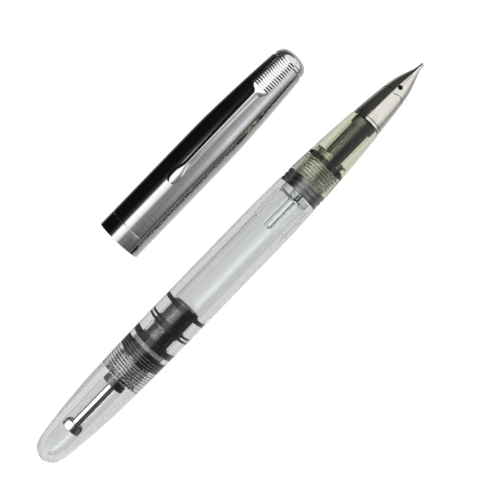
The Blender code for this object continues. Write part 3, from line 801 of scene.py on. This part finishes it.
def make_clip():
    """The spring clip: a wide ribbed panel at the root, a slender bar and a rounded end."""
    half_widths = [(CLIP_TIP, 0.0), (18.05, 0.62), (18.4, 1.0), (19.2, 1.35), (20.2, 1.45), (21.4, 1.38),
                   (22.6, 1.08), (23.6, 0.82), (25.5, 0.76), (36, 0.93), (45.9, 1.12), (46.6, 1.35),
                   (47.1, 2.0), (47.7, 2.32), (49, 2.35), (54, 2.35), (56.5, 2.2), (57.6, 1.9),
                   (58.2, 1.4), (58.5, 0.8), (CLIP_ROOT, 0.0)]
    undersides = [(CLIP_TIP, 6.0), (18.6, CAP_R + 0.12), (20, CAP_R + 0.08), (22, CAP_R + 0.12), (24, 5.98),
                  (28, 6.2), (36, 6.2), (46, 6.0), (50, 5.72), (54, 5.25), (56.5, 4.8), (57.6, 4.62),
                  (CLIP_ROOT, 4.6)]
    tops = [(CLIP_TIP, 6.2), (18.6, 6.6), (20, 6.86), (22, 6.92), (24, 6.86), (28, 6.92), (36, 6.97),
            (46, 6.82), (50, 6.5), (54, 6.05), (56.5, 5.62), (57.6, 5.3), (58.3, 4.95), (CLIP_ROOT, 4.7)]
    groove_depth = 0.12
    roll = math.radians(-2.5)
    origin = CAP_AXIS / MM
    steps, across = 560, 40
    bm = bmesh.new()
    rings = []
    places = [CLIP_TIP + (CLIP_ROOT - CLIP_TIP) * step / steps for step in range(1, steps)]
    for place in places:
        half = max(0.02, along(half_widths, place))
        low, high = along(undersides, place), along(tops, place)
        flat = min(1.0, max(0.0, (place - 46) / 1.5))
        ridged = min(1.0, max(0.0, (place - 21.5) / 2.5)) * (1 - flat)
        side_power, up_power = 1 + 0.5 * ridged - 0.45 * flat, 1 + 0.5 * ridged - 0.25 * flat
        ring = []
        for corner in range(across):
            turn = FULL_TURN * corner / across
            side, up = math.cos(turn), math.sin(turn)
            y = half * math.copysign(abs(side) ** side_power, side)
            z = (low + high) / 2 + (high - low) / 2 * math.copysign(abs(up) ** up_power, up)
            if up > 0.2 and in_groove(place, y, half):
                z -= groove_depth
            rolled_y = y * math.cos(roll) - z * math.sin(roll)
            rolled_z = y * math.sin(roll) + z * math.cos(roll)
            ring.append(bm.verts.new(origin + Vector((place, rolled_y, rolled_z))))
        rings.append(ring)
    for index, (ring, after) in enumerate(zip(rings, rings[1:])):
        place = (places[index] + places[index + 1]) / 2
        half = along(half_widths, place)
        for corner, face in enumerate(join_rings(bm, ring, after)):
            y = half * math.cos(FULL_TURN * (corner + 0.5) / across)
            on_top = 0 < corner < across / 2 - 1
            # Faces in the rib grooves take the dark material: painted shade.
            face.material_index = int(on_top and in_groove(place, y, half))
    bm.faces.new(rings[0])
    bm.faces.new(rings[-1])
    new_object("cap_clip_piece", bm, "cap_clip", POLISHED, SHADED, 45)


# Surroundings

def compared(nodes, links, source, operation, limit):
    node = nodes.new("ShaderNodeMath")
    node.operation = operation
    links.new(source, node.inputs[0])
    node.inputs[1].default_value = limit
    return node.outputs[0]


def both(nodes, links, first, second):
    node = nodes.new("ShaderNodeMath")
    node.operation = "MULTIPLY"
    links.new(first, node.inputs[0])
    links.new(second, node.inputs[1])
    return node.outputs[0]


def mirrored_inside(nodes, links, path):
    """Whether light was mirrored by a piece inside the clear body, and not only by the body's own walls."""
    mirrored = compared(nodes, links, path.outputs["Glossy Depth"], "GREATER_THAN", 0.5)
    deep = compared(nodes, links, path.outputs["Transmission Depth"], "GREATER_THAN", 2.5)
    return both(nodes, links, mirrored, deep)


def make_floor():
    """A plain pale floor. The camera sees it white, clear pieces show it light grey with its shadows, and
    pieces inside the clear body mirror it dim."""
    material, nodes, links = new_material("pale_floor")
    shader = nodes["Principled BSDF"]
    set_inputs(shader, Roughness=1.0, Specular_IOR_Level=0.0, Emission_Strength=0.58)
    shader.inputs["Base Color"].default_value = (0.25, 0.25, 0.25, 1)
    shader.inputs["Emission Color"].default_value = (1, 1, 1, 1)
    path = nodes.new("ShaderNodeLightPath")
    dim = nodes.new("ShaderNodeEmission")
    dim.inputs["Strength"].default_value = 0.05
    plain = nodes.new("ShaderNodeEmission")
    unseen = nodes.new("ShaderNodeMixShader")
    links.new(mirrored_inside(nodes, links, path), unseen.inputs["Fac"])
    links.new(shader.outputs["BSDF"], unseen.inputs[1])
    links.new(dim.outputs["Emission"], unseen.inputs[2])
    shown = nodes.new("ShaderNodeMixShader")
    links.new(path.outputs["Is Camera Ray"], shown.inputs["Fac"])
    links.new(unseen.outputs["Shader"], shown.inputs[1])
    links.new(plain.outputs["Emission"], shown.inputs[2])
    links.new(shown.outputs["Shader"], nodes["Material Output"].inputs["Surface"])
    bm = bmesh.new()
    bmesh.ops.create_grid(bm, x_segments=1, y_segments=1, size=1.5)
    mesh = bpy.data.meshes.new("floor")
    bm.to_mesh(mesh)
    bm.free()
    mesh.materials.append(material)
    floor = bpy.data.objects.new("floor", mesh)
    floor.location.z = cad_low.z - 0.0001
    floor.visible_glossy = False
    bpy.context.scene.collection.objects.link(floor)


# The studio's brightness, as (angle, brightness). The angle goes round the object's length, in degrees from
# straight up, and is positive towards the cap's side.
CAPWARD = [(-4, 0.9), (0, 1.25), (5, 1.4), (15, 1.55), (27, 1.7), (30, 0.9), (35, 0.1), (42, 0.04),
           (55, 0.008), (125, 0.006), (138, 0.08), (160, 0.3), (180, 0.7)]
TAIL_STUDIO = [(-180, 0.7), (-145, 0.7), (-125, 0.5), (-113, 0.6), (-104, 0.4), (-92, 0.24), (-88, 0.1),
               (-78, 0.08), (-74, 0.18), (-60, 0.18), (-46, 0.16), (-40, 0.2), (-31, 0.25), (-12, 0.33),
               (-8, 0.55)] + CAPWARD
MIDDLE_STUDIO = [(-180, 0.7), (-145, 0.7), (-125, 0.5), (-113, 0.55), (-104, 0.35), (-96, 0.2), (-88, 0.1),
                 (-79, 0.08), (-74, 0.3), (-66, 0.8), (-51, 1.2), (-40, 0.7), (-31, 0.6), (-18, 0.4),
                 (-12, 0.36), (-8, 0.55)] + CAPWARD
NIB_STUDIO = [(-180, 0.5), (-125, 0.5), (-118, 0.33), (-100, 0.33), (-85, 0.75), (-60, 0.95), (22, 0.95),
              (29, 0.06), (112, 0.05), (124, 0.35), (138, 0.4), (180, 0.5)]
# What the clear walls mirror from inside themselves
WALL_STUDIO = [(-180, 0.5), (-125, 0.4), (-57, 0.3), (-48, 0.04), (-12, 0.04), (-6, 0.3), (0, 0.7),
               (12, 0.9), (35, 1.2), (60, 1.5), (100, 1.3), (118, 0.5), (180, 0.5)]
# What the pieces inside the clear body mirror
INNER_STUDIO = [(-180, 0.06), (-118, 0.06), (-110, 0.16), (-72, 0.16), (-60, 0.03), (-12, 0.03), (-6, 0.5),
                (0, 1.1), (9, 1.8), (26, 4.2), (44, 5.5), (58, 3.5), (72, 1.2), (84, 0.6), (100, 0.5),
                (112, 0.06), (180, 0.06)]


def make_world():
    """A soft studio. Its brightness goes by the angle round the object's length, and differs a little between
    the tail's end, the middle and the nib's end. The clear walls' inner mirror images and the pieces inside
    each have a studio of their own, and the camera sees plain white."""
    world = bpy.data.worlds.new("studio")
    bpy.context.scene.world = world
    world.use_nodes = True
    nodes, links = world.node_tree.nodes, world.node_tree.links
    background = nodes["Background"]
    place = nodes.new("ShaderNodeTexCoord")
    parts = nodes.new("ShaderNodeSeparateXYZ")
    links.new(place.outputs["Generated"], parts.inputs["Vector"])
    angle = nodes.new("ShaderNodeMath")
    angle.operation = "ARCTAN2"
    links.new(parts.outputs["Y"], angle.inputs[0])
    links.new(parts.outputs["Z"], angle.inputs[1])
    turn = nodes.new("ShaderNodeMath")
    turn.operation = "MULTIPLY_ADD"
    links.new(angle.outputs[0], turn.inputs[0])
    turn.inputs[1].default_value = 1 / FULL_TURN
    turn.inputs[2].default_value = 0.5

    def banded(stops):
        ramp = nodes.new("ShaderNodeValToRGB")
        links.new(turn.outputs[0], ramp.inputs["Fac"])
        elements = ramp.color_ramp.elements
        for (degrees, value), element in zip((stops[0], stops[-1]), list(elements)):
            element.position = degrees / 360 + 0.5
            element.color = (value, value, value, 1)
        for degrees, value in stops[1:-1]:
            elements.new(degrees / 360 + 0.5).color = (value, value, value, 1)
        return ramp.outputs["Color"]

    def joined(factor, first, second, blend="MIX"):
        mix = nodes.new("ShaderNodeMix")
        mix.data_type = "RGBA"
        mix.blend_type = blend
        links.new(factor, mix.inputs["Factor"])
        links.new(first, mix.inputs["A"])
        if isinstance(second, tuple):
            mix.inputs["B"].default_value = second
        else:
            links.new(second, mix.inputs["B"])
        return mix.outputs["Result"]

    def blended(first, second, start, end):
        step = nodes.new("ShaderNodeMapRange")
        step.interpolation_type = "SMOOTHSTEP"
        links.new(parts.outputs["X"], step.inputs["Value"])
        step.inputs["From Min"].default_value = start
        step.inputs["From Max"].default_value = end
        return joined(step.outputs["Result"], first, second)

    ends = blended(banded(TAIL_STUDIO), banded(MIDDLE_STUDIO), -0.10, 0.16)
    studio = blended(ends, banded(NIB_STUDIO), 0.20, 0.40)
    path = nodes.new("ShaderNodeLightPath")
    lifted = joined(path.outputs["Is Transmission Ray"], studio, (0.42, 0.42, 0.43, 1), "LIGHTEN")
    mirrored = compared(nodes, links, path.outputs["Glossy Depth"], "GREATER_THAN", 0.5)
    entered = compared(nodes, links, path.outputs["Transmission Depth"], "GREATER_THAN", 0.5)
    walls = joined(both(nodes, links, mirrored, entered), lifted, banded(WALL_STUDIO))
    inner = joined(mirrored_inside(nodes, links, path), walls, banded(INNER_STUDIO))
    shown = joined(path.outputs["Is Camera Ray"], inner, (1, 1, 1, 1))
    links.new(shown, background.inputs["Color"])


def make_camera():
    """Straight down on the pen, turned so that the pen runs from lower left to upper right."""
    height, turn = 0.185, math.radians(-45.96)
    aim_x, aim_y = 0.00470, PEN_AXIS.y + 0.00215
    data = bpy.data.cameras.new("camera")
    data.lens = 59.27
    data.clip_start = 0.01
    data.clip_end = 10.0
    camera = bpy.data.objects.new("camera", data)
    camera.location = (aim_x, aim_y, PEN_AXIS.z + height)
    camera.rotation_euler = (0, 0, turn)
    bpy.context.scene.collection.objects.link(camera)
    bpy.context.scene.camera = camera


def make_light_paths():
    """Light has to pass many clear walls, and black and white stay as the materials give them."""
    scene = bpy.context.scene
    scene.view_settings.view_transform = "Standard"
    scene.cycles.max_bounces = 32
    scene.cycles.transmission_bounces = 28
    scene.cycles.glossy_bounces = 12


make_blind_cap()
make_barrel()
make_clutch_ring()
make_connector()
make_grip()
make_collector()
make_feed()
make_nib()
make_tipping()
make_breather_tube()
make_housing()
make_plunger()
make_spring()
make_cap_shell()
make_cap_liner()
make_cap_top()
make_clip()
make_floor()
make_world()
make_camera()
make_light_paths()
